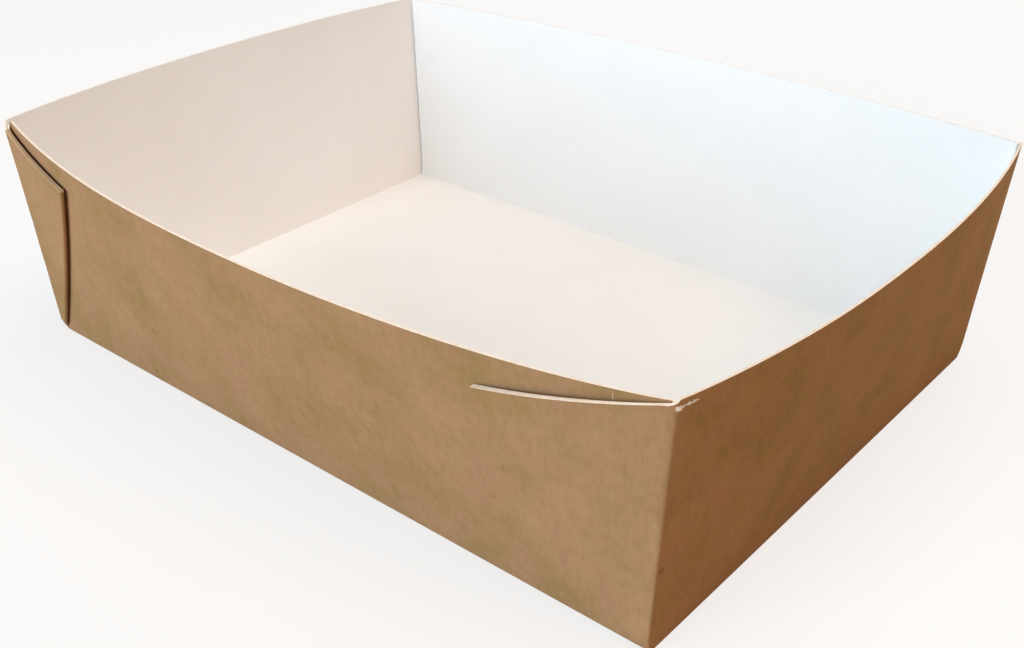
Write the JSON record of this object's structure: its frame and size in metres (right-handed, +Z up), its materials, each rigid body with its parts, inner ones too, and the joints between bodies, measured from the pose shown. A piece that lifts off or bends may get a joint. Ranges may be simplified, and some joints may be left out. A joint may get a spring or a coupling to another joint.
{
  "type": "folded cardboard tray",
  "caption": "Open food tray folded from one sheet of kraft board, white inside, with leaning bowed walls and corner webs folded flat on the long sides.",
  "frame": {"origin": "middle of the underside of the floor", "axes": "+X along the long side walls, +Y across to the rear side wall, +Z up out of the open top"},
  "size_m": [0.1804, 0.1408, 0.05],
  "materials": {
    "kraft_board": "matte"
  },
  "bodies": {
    "root": {"tray": "kraft_board"}
  },
  "joints": []
}
